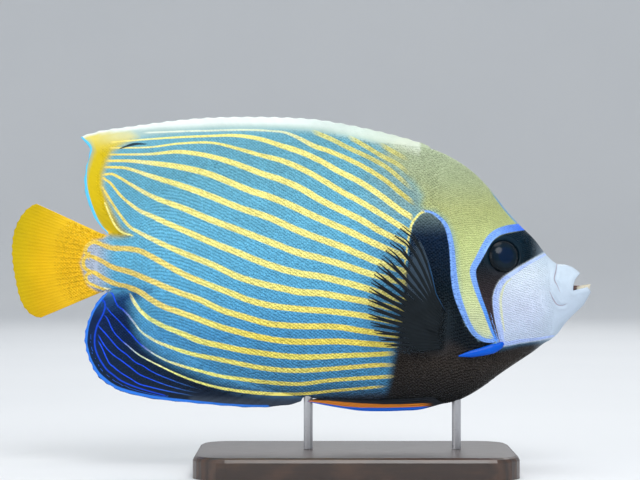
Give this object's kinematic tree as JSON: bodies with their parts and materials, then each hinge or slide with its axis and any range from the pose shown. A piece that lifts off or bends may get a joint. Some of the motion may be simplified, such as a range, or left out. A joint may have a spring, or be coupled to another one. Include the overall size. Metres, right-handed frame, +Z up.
{
  "type": "emperor angelfish model",
  "caption": "Life-size still model of an adult emperor angelfish, swimming level with its mouth open and breast fins fanned, held over a flat display base by short rods.",
  "frame": {"origin": "on the floor, under the middle of the whole model", "axes": "+X from tail to head, +Y across the fish towards its left side, +Z up"},
  "size_m": [0.32, 0.104, 0.196],
  "materials": {
    "flank_skin": "blue with yellow stripes, satin, finely scaled",
    "head_skin": "olive with a dark mask edged in blue, satin",
    "snout_skin": "bluish white, smooth and satin",
    "spine_blue": "bright blue, smooth",
    "eye": "dark, wet and glossy",
    "back_fin_skin": "striped blue and yellow with a white edge, satin",
    "dark_fin_skin": "dark navy with blue lines, satin",
    "tail_fin_skin": "golden yellow, satin",
    "stand_wood": "dark stained wood, satin varnish",
    "stand_rod": "brushed"
  },
  "bodies": {
    "root": {"trunk": "flank_skin", "tail_stalk": "flank_skin", "head": "head_skin", "gill_cover_left": "head_skin", "gill_cover_right": "head_skin", "upper_jaw": "snout_skin", "lower_jaw": "snout_skin", "cheek_spine_left": "spine_blue", "cheek_spine_right": "spine_blue", "eye_left": "eye", "eye_right": "eye", "dorsal_fin": "back_fin_skin", "anal_fin": "dark_fin_skin", "tail_fin": "tail_fin_skin", "pectoral_fin_left": "dark_fin_skin", "pectoral_fin_right": "dark_fin_skin", "pelvic_fin_left": "dark_fin_skin", "pelvic_fin_right": "dark_fin_skin", "stand_base": "stand_wood", "stand_rod_front": "stand_rod", "stand_rod_rear": "stand_rod"}
  },
  "joints": []
}
